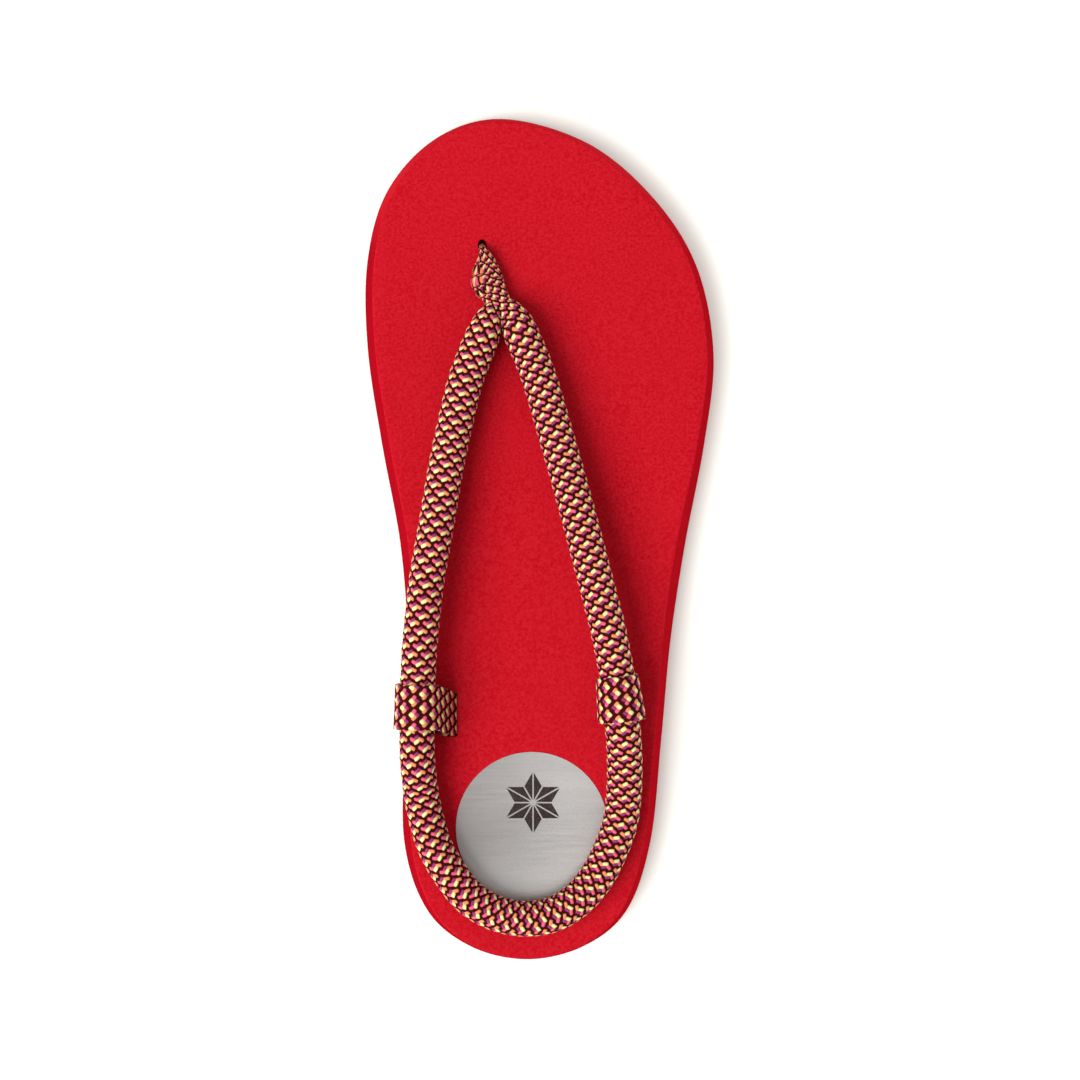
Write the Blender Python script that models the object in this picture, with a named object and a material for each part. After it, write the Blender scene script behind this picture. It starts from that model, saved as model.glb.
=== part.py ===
"""Cord waraji sandal for the right foot: a foam sole, one braided cord strap and two side loops.

Metres, +Z up, toe towards +Y, outer side towards +X. The sole stands on z = 0.
"""

import math

import bmesh
import bpy
from mathutils import Vector

MM = 0.001
CLEARANCE = 0.3 * MM             # between pieces that touch on the real sandal

# Sole
HEEL_THICKNESS = 15.0 * MM
TOE_THICKNESS = 12.5 * MM
THINNING_START_Y = 0.0 * MM      # the foam is a plain slab behind this line
TOE_TIP_Y = 124.7 * MM
WALL_FLARE = 2.7 * MM            # how far the wall leans out, top edge to bottom edge
TOE_SPRING = 3.0 * MM
TOE_SPRING_START_Y = 78.0 * MM
ARCH_RISE = 1.5 * MM
ARCH_FROM_Y, ARCH_TO_Y = -40.0 * MM, 24.0 * MM
OUTLINE_STEPS = 5                # points for each stretch of the outline

# The sole's bottom outline, counterclockwise from the toe tip: x, y in millimetres
SOLE_OUTLINE = [
    (-11.0, 124.7),   # toe tip
    (-30.6, 119.3),   # big toe
    (-45.3, 104.0),
    (-51.5, 83.0),    # widest on the inner side
    (-51.5, 57.0),
    (-47.2, 28.2),
    (-41.7, -1.5),
    (-39.6, -30.0),   # waist, inner side
    (-40.4, -60.0),
    (-40.6, -90.0),
    (-33.7, -110.6),
    (-20.4, -121.6),
    (-3.5, -125.3),   # heel
    (13.2, -121.3),
    (25.9, -110.6),
    (33.0, -90.0),
    (36.2, -60.0),
    (39.0, -30.0),    # waist, outer side
    (43.3, -1.5),
    (49.0, 28.2),
    (51.8, 55.0),     # widest on the outer side
    (46.8, 81.0),
    (33.8, 101.5),
    (14.2, 117.6),
]

# Shallow hollows pressed into the footbed: centre x, y, half length across, half length along, depth
FOOTBED_HOLLOWS = [
    (-3.0, -88.0, 32.0, 34.0, 0.8),    # heel
    (2.0, 62.0, 46.0, 50.0, 0.6),      # ball
]

# Toe hole and its pocket under the sole
TOE_HOLE = (-17.2, 85.3)         # x, y in millimetres
TOE_HOLE_RADIUS = 1.9 * MM
TOE_POCKET_RADIUS = 7.2 * MM
TOE_POCKET_DEPTH = 6.0 * MM

# Strap: a round cord, 10.3 mm thick
CORD_RADIUS = 5.15 * MM
CORD_SIDES = 12
CORD_STEPS = 4                   # rings for each stretch of the route

# The strap's route from under the toe hole: x, y, lift of its underside off the footbed,
# half width, half height, all in millimetres
STRAP_ON_FOOTBED = [
    (-17.0, 84.4, 0.4, 1.5, 1.5),      # over the back edge of the toe hole
    (-16.5, 82.6, 1.1, 2.3, 1.4),
    (-16.2, 80.2, 0.7, 3.4, 1.6),
    (-16.0, 77.6, 0.5, 4.3, 2.0),
    (-15.6, 74.8, 0.5, 4.9, 2.2),      # the flat thong at its widest
    (-13.6, 71.2, 0.5, 3.9, 2.5),
    (-11.6, 68.2, 0.5, 3.4, 3.0),      # waist, where the two runs are spliced
    (-9.0, 65.6, 0.5, 4.1, 3.8),
    (-7.3, 63.0, 0.5, 4.75, 4.5),
    (-5.9, 59.6, 0.5, 5.15, 5.1),
    (-2.6, 51.9, 0.6, 5.15, 5.15),     # outer run
    (0.2, 43.8, 1.0, 5.15, 5.15),
    (2.6, 35.4, 1.3, 5.15, 5.15),
    (7.3, 18.8, 2.4, 5.15, 5.15),
    (11.8, 2.0, 3.9, 5.15, 5.15),
    (16.1, -14.7, 4.8, 5.15, 5.15),
    (18.3, -23.1, 5.0, 5.15, 5.15),
    (20.1, -31.4, 4.8, 5.15, 5.15),
    (21.5, -38.8, 4.5, 5.15, 5.15),
    (22.3, -45.8, 4.5, 5.15, 5.15),    # in the outer side loop
    (23.1, -52.8, 4.4, 5.15, 5.15),
    (23.9, -64.0, 2.2, 5.15, 5.15),
    (23.7, -74.6, 0.8, 5.15, 5.15),
    (22.4, -83.1, 0.5, 5.15, 5.15),
    (19.4, -91.2, 0.5, 5.15, 5.15),
    (15.4, -98.6, 0.5, 5.15, 5.15),
    (10.1, -104.6, 0.5, 5.15, 5.15),
    (3.1, -108.8, 0.5, 5.15, 5.15),
    (-5.0, -110.0, 0.5, 5.15, 5.15),   # round the heel
    (-13.6, -108.3, 0.5, 5.15, 5.15),
    (-21.0, -103.8, 0.5, 5.15, 5.15),
    (-26.5, -97.0, 0.5, 5.15, 5.15),
    (-30.8, -89.5, 0.5, 5.15, 5.15),
    (-33.4, -81.4, 0.5, 5.15, 5.15),
    (-35.1, -72.8, 0.7, 5.15, 5.15),
    (-36.0, -64.2, 2.8, 5.15, 5.15),
    (-36.15, -56.8, 3.9, 5.15, 5.15),
    (-36.1, -48.2, 4.0, 5.15, 5.15),   # in the inner side loop
    (-35.8, -39.2, 4.1, 5.15, 5.15),
    (-35.3, -30.0, 4.6, 5.15, 5.15),
    (-33.4, -12.5, 4.7, 5.15, 5.15),
    (-30.5, 4.5, 3.5, 5.15, 5.15),
    (-27.6, 21.8, 1.9, 5.15, 5.15),
    (-24.0, 38.6, 1.2, 5.15, 5.15),
    (-21.8, 47.1, 0.9, 5.15, 5.15),    # inner run
    (-18.8, 55.0, 0.6, 5.15, 5.15),
    (-17.15, 59.2, 0.5, 5.05, 5.1),
    (-15.9, 62.8, 0.5, 4.4, 4.5),
    (-15.2, 65.4, 0.5, 3.5, 3.8),
    (-14.4, 67.6, 0.7, 2.1, 2.8),      # its end, spliced into the thong
]

# The knot under the sole and the neck of the thong that comes up from it
KNOT_RADIUS = 6.2 * MM
KNOT_HEIGHT = 4.9 * MM
KNOT_MIDDLE_Z = 3.1 * MM
NECK_RADIUS = 1.5 * MM
NECK_HEIGHTS = (3.1, 7.0, 10.6)  # in millimetres
NECK_TOP_LIFT = 0.1 * MM         # how far above the footbed the neck starts to lean back

# Side loops: a flat tape of the same braid
TAPE_WIDTH = 13.2 * MM
TAPE_THICKNESS = 1.0 * MM
LOOP_SLACK = 0.45 * MM           # between the cord and the tape round it
POCKET_DEPTH = 3.0 * MM
POCKET_LENGTH = 12.4 * MM        # across the sole
FLAP_LENGTH = 4.6 * MM           # of the tape's ends, spread in the pocket
BEND_RADIUS = TAPE_THICKNESS / 2 + CLEARANCE    # of the tape at the slot's edges
STRETCH_STEPS = 4                # sections between the slot and the cord
ARC_STEPS = 24                   # sections round the cord

# name, outward direction (-1 inner, +1 outer), slot x, slot y, cord x, cord y,
# lift of the cord's underside, turn of the loop about the vertical in degrees
SIDE_LOOPS = [
    ("inner", -1, -25.8, -51.2, -36.1, -48.2, 4.0, 0.0),
    ("outer", 1, 20.8, -48.6, 22.3, -45.8, 4.5, 6.5),
]

COLORS = {
    "foam_red": ((0.62, 0.012, 0.022), 0.75),
    "braid": ((0.45, 0.18, 0.12), 0.85),
}


def smooth_step(t):
    """0 below 0, 1 above 1, and an even slope at both ends."""
    t = min(max(t, 0.0), 1.0)
    return t * t * (3.0 - 2.0 * t)


def catmull_rom(before, start, end, after, t):
    """The point at t between start and end, on the smooth curve through four rows of numbers."""
    return tuple(
        0.5 * (2 * b + (c - a) * t + (2 * a - 5 * b + 4 * c - d) * t * t + (3 * b - a - 3 * c + d) * t ** 3)
        for a, b, c, d in zip(before, start, end, after)
    )


def smooth_closed(rows, steps):
    """A closed smooth curve through the rows, with this many points for each stretch."""
    count = len(rows)
    return [
        catmull_rom(rows[i - 1], rows[i], rows[(i + 1) % count], rows[(i + 2) % count], k / steps)
        for i in range(count)
        for k in range(steps)
    ]


def smooth_open(rows, steps):
    """An open smooth curve through the rows, with this many points for each stretch."""
    padded = [rows[0], *rows, rows[-1]]
    points = [
        catmull_rom(*padded[i:i + 4], k / steps)
        for i in range(len(rows) - 1)
        for k in range(steps)
    ]
    return [*points, rows[-1]]


def sole_bottom(x, y):
    """Height of the sole's underside: flat at heel and ball, raised at the arch and the toe."""
    spring = max(0.0, y - TOE_SPRING_START_Y) / (TOE_TIP_Y - TOE_SPRING_START_Y)
    along = (y - ARCH_FROM_Y) / (ARCH_TO_Y - ARCH_FROM_Y)
    arch = math.sin(math.pi * along) ** 2 if 0.0 < along < 1.0 else 0.0
    inner_side = smooth_step(0.5 - x / (70.0 * MM))
    return TOE_SPRING * spring ** 2 + ARCH_RISE * arch * (0.4 + 0.6 * inner_side)


def sole_top(x, y):
    """Height of the footbed."""
    spring = max(0.0, y - TOE_SPRING_START_Y) / (TOE_TIP_Y - TOE_SPRING_START_Y)
    thinning = smooth_step((y - THINNING_START_Y) / (TOE_TIP_Y - THINNING_START_Y))
    height = HEEL_THICKNESS + (TOE_THICKNESS - HEEL_THICKNESS) * thinning + TOE_SPRING * spring ** 2
    for centre_x, centre_y, across, along, depth in FOOTBED_HOLLOWS:
        reach = math.hypot((x / MM - centre_x) / across, (y / MM - centre_y) / along)
        height -= depth * MM * (1.0 - smooth_step(reach))
    return height


def new_object(name, bm, material):
    """A bmesh as an object, shaded smooth with its sharp edges kept."""
    bmesh.ops.recalc_face_normals(bm, faces=bm.faces)
    mesh = bpy.data.meshes.new(name)
    bm.to_mesh(mesh)
    bm.free()
    mesh.shade_smooth()
    mesh.set_sharp_from_angle(angle=math.radians(40))
    if material:
        mesh.materials.append(material)
    obj = bpy.data.objects.new(name, mesh)
    bpy.context.scene.collection.objects.link(obj)
    return obj


def new_material(name):
    """A plain Principled material from the colour table."""
    color, roughness = COLORS[name]
    material = bpy.data.materials.new(name)
    material.use_nodes = True
    shader = material.node_tree.nodes["Principled BSDF"]
    shader.inputs["Base Color"].default_value = (*color, 1.0)
    shader.inputs["Roughness"].default_value = roughness
    shader.inputs["Metallic"].default_value = 0.0
    return material


def join_rings(bm, rings):
    """Quads between each ring of vertices and the next."""
    for ring, following in zip(rings, rings[1:]):
        count = len(ring)
        for i in range(count):
            j = (i + 1) % count
            bm.faces.new((ring[i], ring[j], following[j], following[i]))


def sweep(sections):
    """A closed solid through the sections, each a list of corners, with flat ends."""
    bm = bmesh.new()
    rings = [[bm.verts.new(corner) for corner in section] for section in sections]
    join_rings(bm, rings)
    bm.faces.new(rings[0])
    bm.faces.new(rings[-1])
    return bm


def combine(body, tool, operation):
    """Cuts a hidden tool out of a body, or adds it to the body, with a live Boolean."""
    tool.hide_render = True
    tool.display_type = "WIRE"
    modifier = body.modifiers.new(tool.name, "BOOLEAN")
    modifier.operation = operation
    modifier.solver = "EXACT"
    modifier.object = tool
    return modifier


def cut(body, cutter):
    combine(body, cutter, "DIFFERENCE")


def upright_cylinder(name, x, y, radius, bottom, top, sides):
    bm = bmesh.new()
    bmesh.ops.create_cone(
        bm, cap_ends=True, segments=sides, radius1=radius, radius2=radius, depth=top - bottom
    )
    bmesh.ops.translate(bm, verts=bm.verts, vec=(x, y, (top + bottom) / 2))
    return new_object(name, bm, None)


def block(name, x, y, size_x, size_y, bottom, top, corner=0.0):
    bm = bmesh.new()
    bmesh.ops.create_cube(bm, size=1.0)
    bmesh.ops.scale(bm, verts=bm.verts, vec=(size_x, size_y, top - bottom))
    bmesh.ops.translate(bm, verts=bm.verts, vec=(x, y, (top + bottom) / 2))
    if corner:
        uprights = [e for e in bm.edges if abs(e.verts[0].co.z - e.verts[1].co.z) > (top - bottom) / 2]
        bmesh.ops.bevel(bm, geom=uprights, offset=corner, segments=3, profile=0.5, affect="EDGES")
    return new_object(name, bm, None)


def make_sole(material):
    """The foam block: rings from the middle of its underside, out, up its wall and in over the footbed."""
    outline = [Vector((x, y, 0.0)) * MM for x, y in smooth_closed(SOLE_OUTLINE, OUTLINE_STEPS)]
    count = len(outline)
    top_edge = []
    for i, point in enumerate(outline):
        along = (outline[(i + 1) % count] - outline[i - 1]).normalized()
        top_edge.append(point + WALL_FLARE * Vector((-along.y, along.x, 0.0)))
    bm = bmesh.new()
    bottom_shares = (0.35, 0.65, 0.88, 1.0)
    top_shares = (1.0, 0.93, 0.82, 0.68, 0.52, 0.35, 0.18)
    rings = []
    for share in bottom_shares:
        points = [point * share for point in outline]
        rings.append([bm.verts.new((p.x, p.y, sole_bottom(p.x, p.y))) for p in points])
    for share in top_shares:
        points = [point * share for point in top_edge]
        rings.append([bm.verts.new((p.x, p.y, sole_top(p.x, p.y))) for p in points])
    join_rings(bm, rings)
    for ring, height in ((rings[0], sole_bottom(0, 0)), (rings[-1], sole_top(0, 0))):
        middle = bm.verts.new((0.0, 0.0, height))
        for i in range(count):
            bm.faces.new((ring[i], ring[(i + 1) % count], middle))
    sole = new_object("sole", bm, material)

    above = HEEL_THICKNESS + 5 * MM
    below = -5 * MM
    x, y = TOE_HOLE[0] * MM, TOE_HOLE[1] * MM
    cut(sole, upright_cylinder("toe_hole_cutter", x, y, TOE_HOLE_RADIUS, below, above, 16))
    cut(sole, upright_cylinder("toe_pocket_cutter", x, y, TOE_POCKET_RADIUS, below, TOE_POCKET_DEPTH, 28))
    slot_width = 2 * TAPE_THICKNESS + 3 * CLEARANCE
    slot_length = TAPE_WIDTH + 2 * CLEARANCE
    for name, _, slot_x, slot_y, *_ in SIDE_LOOPS:
        x, y = slot_x * MM, slot_y * MM
        cut(sole, block(f"{name}_slot_cutter", x, y, slot_width, slot_length, below, above))
        cut(sole, block(f"{name}_pocket_cutter", x, y, POCKET_LENGTH, slot_length + 2 * MM, below,
                        POCKET_DEPTH, corner=2 * MM))
    return sole


def strap_route():
    """Rows of x, y, z, half width and half height along the whole strap, in metres."""
    hole_x, hole_y = TOE_HOLE[0] * MM, TOE_HOLE[1] * MM
    rows = [(hole_x, hole_y, z * MM, NECK_RADIUS, NECK_RADIUS) for z in NECK_HEIGHTS]
    neck_top = sole_top(hole_x, hole_y) + NECK_TOP_LIFT
    rows.append((hole_x, hole_y, neck_top, NECK_RADIUS, NECK_RADIUS))
    for x, y, lift, half_width, half_height in STRAP_ON_FOOTBED:
        z = sole_top(x * MM, y * MM) + (lift + half_height) * MM
        rows.append((x * MM, y * MM, z, half_width * MM, half_height * MM))
    return rows


def make_strap(material):
    """The cord: round or flattened sections along its route, its end merged with the thong."""
    points = smooth_open(strap_route(), CORD_STEPS)
    places = [Vector(point[:3]) for point in points]
    side = Vector((-1.0, 0.0, 0.0))
    sections = []
    for i, (place, point) in enumerate(zip(places, points)):
        along = (places[min(i + 1, len(places) - 1)] - places[max(i - 1, 0)]).normalized()
        level = along.cross(Vector((0.0, 0.0, 1.0)))
        if level.length > 0.3:
            side = level.normalized()
        over = side.cross(along).normalized()
        half_width, half_height = point[3], point[4]
        sections.append([
            place
            + side * half_width * math.cos(math.tau * k / CORD_SIDES)
            + over * half_height * math.sin(math.tau * k / CORD_SIDES)
            for k in range(CORD_SIDES)
        ])
    strap = new_object("strap", sweep(sections), material)

    bm = bmesh.new()
    bmesh.ops.create_uvsphere(bm, u_segments=16, v_segments=8, radius=1.0)
    bmesh.ops.scale(bm, verts=bm.verts, vec=(KNOT_RADIUS, KNOT_RADIUS, KNOT_HEIGHT / 2))
    bmesh.ops.translate(bm, verts=bm.verts, vec=(*(value * MM for value in TOE_HOLE), KNOT_MIDDLE_Z))
    knot = combine(strap, new_object("knot_tool", bm, None), "UNION")
    knot.use_self = True         # the splice is where the cord's end runs into its own thong
    return strap


def tangent_point(point, centre, radius, turn):
    """Where the line from a point touches a circle, on the side that turn (+1 or -1) picks."""
    offset = centre - point
    reach = math.sqrt(offset.length ** 2 - radius ** 2)
    angle = turn * math.asin(radius / offset.length)
    direction = offset.normalized()
    turned = Vector((
        direction.x * math.cos(angle) - direction.y * math.sin(angle),
        direction.x * math.sin(angle) + direction.y * math.cos(angle),
    ))
    return point + turned * reach


def rounded(corners, radius, steps=3):
    """A path through the corners, with its inner corners rounded to the radius."""
    path = [corners[0]]
    for before, corner, after in zip(corners, corners[1:], corners[2:]):
        back, ahead = (before - corner).normalized(), (after - corner).normalized()
        half_angle = back.angle(ahead) / 2
        setback = radius / math.tan(half_angle)
        centre = corner + (back + ahead).normalized() * (radius / math.sin(half_angle))
        start, end = corner + back * setback, corner + ahead * setback
        for k in range(steps + 1):
            spoke = (start - centre).lerp(end - centre, k / steps).normalized()
            path.append(centre + spoke * radius)
    return [*path, corners[-1]]


def loop_path(slot_to_cord, cord_height, top):
    """The tape's middle line: outward from the slot and height above the ground, with the share of
    the way from the slot (0) to the cord (1) at each point."""
    radius = CORD_RADIUS + LOOP_SLACK + TAPE_THICKNESS / 2
    centre = Vector((slot_to_cord, cord_height))
    layer = (TAPE_THICKNESS + CLEARANCE) / 2
    flap_height = POCKET_DEPTH - CLEARANCE - TAPE_THICKNESS / 2
    ends = []
    for side in (1, -1):
        flap = Vector((side * (layer + FLAP_LENGTH), flap_height))
        bottom = Vector((side * layer, flap_height))
        mouth = Vector((side * layer, top + CLEARANCE + TAPE_THICKNESS / 2))
        touch = tangent_point(mouth, centre, radius, -side)
        in_slot = rounded([flap, bottom, mouth, touch], BEND_RADIUS)[:-1]
        points = [(point, 0.0) for point in in_slot]
        for k in range(1, STRETCH_STEPS):
            points.append((in_slot[-1].lerp(touch, k / STRETCH_STEPS), k / STRETCH_STEPS))
        ends.append((points, math.atan2(touch.y - centre.y, touch.x - centre.x)))
    (rising, from_angle), (falling, to_angle) = ends
    arc = []
    for k in range(ARC_STEPS + 1):
        angle = from_angle + ((to_angle - from_angle) % math.tau) * k / ARC_STEPS
        arc.append((centre + radius * Vector((math.cos(angle), math.sin(angle))), 1.0))
    return [*rising, *arc, *reversed(falling)]


def make_side_loop(row, material):
    """A flat tape along the loop's path, moved and turned from its slot to the cord it holds."""
    name, outward, slot_x, slot_y, cord_x, cord_y, lift, turn = row
    slot_x, slot_y, cord_x, cord_y = (value * MM for value in (slot_x, slot_y, cord_x, cord_y))
    cord_height = sole_top(cord_x, cord_y) + lift * MM + CORD_RADIUS
    path = loop_path(abs(cord_x - slot_x), cord_height, sole_top(slot_x, slot_y))
    sections = []
    for i, (point, share) in enumerate(path):
        along = (path[min(i + 1, len(path) - 1)][0] - path[max(i - 1, 0)][0]).normalized()
        normal = Vector((-along.y, along.x)) * TAPE_THICKNESS / 2
        angle = math.radians(turn) * share
        corners = []
        for thick, wide in ((-1, -1), (1, -1), (1, 1), (-1, 1)):
            place = point + normal * thick
            x = slot_x + outward * place.x - cord_x
            y = wide * TAPE_WIDTH / 2
            corners.append(Vector((
                cord_x + x * math.cos(angle) - y * math.sin(angle),
                slot_y + (cord_y - slot_y) * share + x * math.sin(angle) + y * math.cos(angle),
                place.y,
            )))
        sections.append(corners)
    return new_object(f"loop_{name}", sweep(sections), material)


def main():
    for obj in list(bpy.data.objects):
        bpy.data.objects.remove(obj, do_unlink=True)
    foam = new_material("foam_red")
    braid = new_material("braid")
    make_sole(foam)
    make_strap(braid)
    for row in SIDE_LOOPS:
        make_side_loop(row, braid)


main()
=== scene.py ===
import math

import bmesh
import bpy
import numpy as np
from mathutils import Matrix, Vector


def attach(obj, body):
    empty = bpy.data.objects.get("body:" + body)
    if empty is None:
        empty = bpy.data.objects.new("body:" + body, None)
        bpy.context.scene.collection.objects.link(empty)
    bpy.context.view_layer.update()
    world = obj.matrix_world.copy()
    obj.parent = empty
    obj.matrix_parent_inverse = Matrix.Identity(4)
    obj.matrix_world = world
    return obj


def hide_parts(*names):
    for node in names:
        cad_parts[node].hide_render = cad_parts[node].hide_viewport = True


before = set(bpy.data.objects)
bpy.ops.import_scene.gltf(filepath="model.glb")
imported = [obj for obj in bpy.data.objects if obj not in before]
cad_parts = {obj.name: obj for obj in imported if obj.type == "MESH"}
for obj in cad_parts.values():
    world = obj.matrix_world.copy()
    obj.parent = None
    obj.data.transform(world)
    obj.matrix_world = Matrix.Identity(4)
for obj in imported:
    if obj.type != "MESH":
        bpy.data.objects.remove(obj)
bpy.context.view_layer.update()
print("frame loaded:", ", ".join(sorted(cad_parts)))

mm = 0.001


def easeStep(t):
    t = min(max(t, 0.0), 1.0)
    return t * t * (3.0 - 2.0 * t)


def throughRow(before, start, end, after, t):    # Catmull-Rom between start and end
    return tuple(
        0.5 * (2 * b + (c - a) * t + (2 * a - 5 * b + 4 * c - d) * t * t + (3 * b - a - 3 * c + d) * t ** 3)
        for a, b, c, d in zip(before, start, end, after)
    )


def closedCurve(rows, steps):
    count = len(rows)
    return [throughRow(rows[i - 1], rows[i], rows[(i + 1) % count], rows[(i + 2) % count], k / steps)
            for i in range(count) for k in range(steps)]


def openCurve(rows, steps):
    padded = [rows[0], *rows, rows[-1]]
    points = [throughRow(*padded[i:i + 4], k / steps) for i in range(len(rows) - 1) for k in range(steps)]
    return [*points, rows[-1]]


def extrudeUp(bm):    # adds a wall and a new top over every face, and returns the top's vertices
    grown = bmesh.ops.extrude_face_region(bm, geom=list(bm.faces))["geom"]
    return [v for v in grown if isinstance(v, bmesh.types.BMVert)]


def meshObject(name, bm, materials, body="root"):
    mesh = bpy.data.meshes.new(name)
    bm.to_mesh(mesh)
    bm.free()
    for material in materials:
        mesh.materials.append(material)
    obj = bpy.data.objects.new(name, mesh)
    bpy.context.scene.collection.objects.link(obj)
    if body:
        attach(obj, body)
    return obj


def smoothShade(obj, angle):
    obj.data.shade_smooth()
    obj.data.set_sharp_from_angle(angle=math.radians(angle))


def newMaterial(name):
    material = bpy.data.materials.new(name)
    material.use_nodes = True
    tree = material.node_tree
    return material, tree, tree.nodes["Principled BSDF"]


def plug(tree, socket, value):
    if isinstance(value, bpy.types.NodeSocket):
        tree.links.new(value, socket)
    elif value is not None:
        socket.default_value = value


def calc(tree, operation, a, b=None, clamp=False):
    node = tree.nodes.new("ShaderNodeMath")
    node.operation = operation
    node.use_clamp = clamp
    for socket, value in zip(node.inputs, (a, b)):
        plug(tree, socket, value)
    return node.outputs[0]


def remap(tree, value, low, high, toLow=0.0, toHigh=1.0, smooth=False):
    node = tree.nodes.new("ShaderNodeMapRange")
    node.interpolation_type = "SMOOTHSTEP" if smooth else "LINEAR"
    sockets = {"Value": value, "From Min": low, "From Max": high, "To Min": toLow, "To Max": toHigh}
    for name, number in sockets.items():
        plug(tree, node.inputs[name], number)
    return node.outputs["Result"]


def blend(tree, share, a, b, mode="MIX"):
    node = tree.nodes.new("ShaderNodeMix")
    node.data_type = "RGBA"
    node.blend_type = mode
    plug(tree, node.inputs["Factor"], share)
    plug(tree, node.inputs["A"], a)
    plug(tree, node.inputs["B"], b)
    return node.outputs["Result"]


def paintOver(tree, color, paint, mask, low, high, share=1.0, smooth=False):    # where the mask is high
    return blend(tree, remap(tree, mask, low, high, 0.0, share, smooth), color, paint)


def tinted(tree, share, color, tint):
    return blend(tree, share, color, blend(tree, 1.0, color, tint, "MULTIPLY"))


def noise(tree, vector, scale, detail=2.0, roughness=0.5):
    node = tree.nodes.new("ShaderNodeTexNoise")
    plug(tree, node.inputs["Vector"], vector)
    node.inputs["Scale"].default_value = scale
    node.inputs["Detail"].default_value = detail
    node.inputs["Roughness"].default_value = roughness
    return node.outputs["Fac"]


def bump(tree, height, distance, strength, normal=None):
    node = tree.nodes.new("ShaderNodeBump")
    node.inputs["Strength"].default_value = strength
    node.inputs["Distance"].default_value = distance
    plug(tree, node.inputs["Height"], height)
    plug(tree, node.inputs["Normal"], normal)
    return node.outputs["Normal"]


def objectCoordinates(tree):
    return tree.nodes.new("ShaderNodeTexCoord").outputs["Object"]


def axes(tree, vector):
    split = tree.nodes.new("ShaderNodeSeparateXYZ")
    plug(tree, split.inputs[0], vector)
    return split.outputs


def stretched(tree, vector, scale, turn=0.0):
    node = tree.nodes.new("ShaderNodeMapping")
    plug(tree, node.inputs["Vector"], vector)
    node.inputs["Scale"].default_value = scale
    node.inputs["Rotation"].default_value = (0.0, 0.0, math.radians(turn))
    return node.outputs[0]


sole = {
    "heelThickness": 15.0,
    "toeThickness": 12.5,
    "thinFrom": 0.0,             # y where the foam starts to thin towards the toe
    "tipY": 124.7,
    "toeSpring": 3.0,
    "springFrom": 78.0,
    "archRise": 1.5,
    "archSpan": (-40.0, 24.0),
    "archOuter": 0.4,            # the share of its rise at the outer side
    "archWidth": 70.0,
    "wallFlare": 2.7,            # top edge to bottom edge
    "outerFlare": (0.35, 0.65),  # more of it all along the outer side, and at its waist
    "outerSide": (5.0, 25.0),    # x where the outer side begins, and where it has all of that
    "waist": (-8.0, 50.0),       # y of its middle, and its reach each way
    "topEdge": 0.45,             # bevels
    "bottomEdge": 0.8,
    "outlineSteps": 12,
    "gridStep": 5.0,             # a grid over footbed and underside, for their curves
    "gridReach": (55.0, 130.0),
    "wallTilt": 0.6,             # faces that look up less than this are wall
    "treadTilt": -0.8,           # and those that look down more than this, below the height, are tread
    "treadHeight": 4.0,
    "hollows": [                 # x, y, half across, half along, depth
        (-3.0, -88.0, 32.0, 34.0, 0.8),
        (2.0, 62.0, 46.0, 50.0, 0.6),
    ],
    "outline": [                 # bottom edge, counterclockwise from the toe tip
        (-11.0, 124.7), (-30.6, 119.3), (-45.3, 104.0), (-51.5, 83.0), (-51.5, 57.0), (-47.2, 28.2),
        (-41.7, -1.5), (-39.6, -30.0), (-40.4, -60.0), (-40.6, -90.0), (-33.7, -110.6), (-20.4, -121.6),
        (-3.5, -125.3), (13.2, -121.3), (25.9, -110.6), (33.0, -90.0), (36.2, -60.0), (39.0, -30.0),
        (43.3, -1.5), (49.0, 28.2), (51.8, 55.0), (46.8, 81.0), (33.8, 101.5), (14.2, 117.6),
    ],
    "toeHole": (-17.25, 85.9),
    "toeHoleRadius": 1.35,
    "toeHoleStretch": 1.48,      # pulled long by the strap
    "toeHoleRim": 0.7,
    "toePocket": (7.2, 6.0),     # radius, depth
    "slotSize": (2.5, 13.2),     # the foam grips the tape
    "slots": [(-25.8, -51.2), (20.8, -48.6)],
    "slotCorner": 0.6,
    "slotPocket": (12.4, 15.8, 3.0),
    "slotPocketCorner": 2.0,
    "through": (-5.0, 25.0),     # bottom and top of a cut right through the foam
}


def springAt(y):
    return sole["toeSpring"] * (max(0.0, y - sole["springFrom"]) / (sole["tipY"] - sole["springFrom"])) ** 2


def underside(x, y):
    low, high = sole["archSpan"]
    along = (y - low) / (high - low)
    arch = math.sin(math.pi * along) ** 2 if 0.0 < along < 1.0 else 0.0
    share = sole["archOuter"] + (1.0 - sole["archOuter"]) * easeStep(0.5 - x / sole["archWidth"])
    return springAt(y) + sole["archRise"] * arch * share


def footbed(x, y):
    thinning = easeStep((y - sole["thinFrom"]) / (sole["tipY"] - sole["thinFrom"]))
    height = sole["heelThickness"] + (sole["toeThickness"] - sole["heelThickness"]) * thinning
    height += springAt(y)
    for hollowX, hollowY, across, along, depth in sole["hollows"]:
        height -= depth * (1.0 - easeStep(math.hypot((x - hollowX) / across, (y - hollowY) / along)))
    return height


def wallLean(x, y):    # how far the top edge lies inside the bottom edge
    begins, whole = sole["outerSide"]
    middle, reach = sole["waist"]
    base, more = sole["outerFlare"]
    outer = easeStep((x - begins) / (whole - begins))
    return sole["wallFlare"] + outer * (base + more * easeStep(1.0 - abs(y - middle) / reach))


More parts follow.
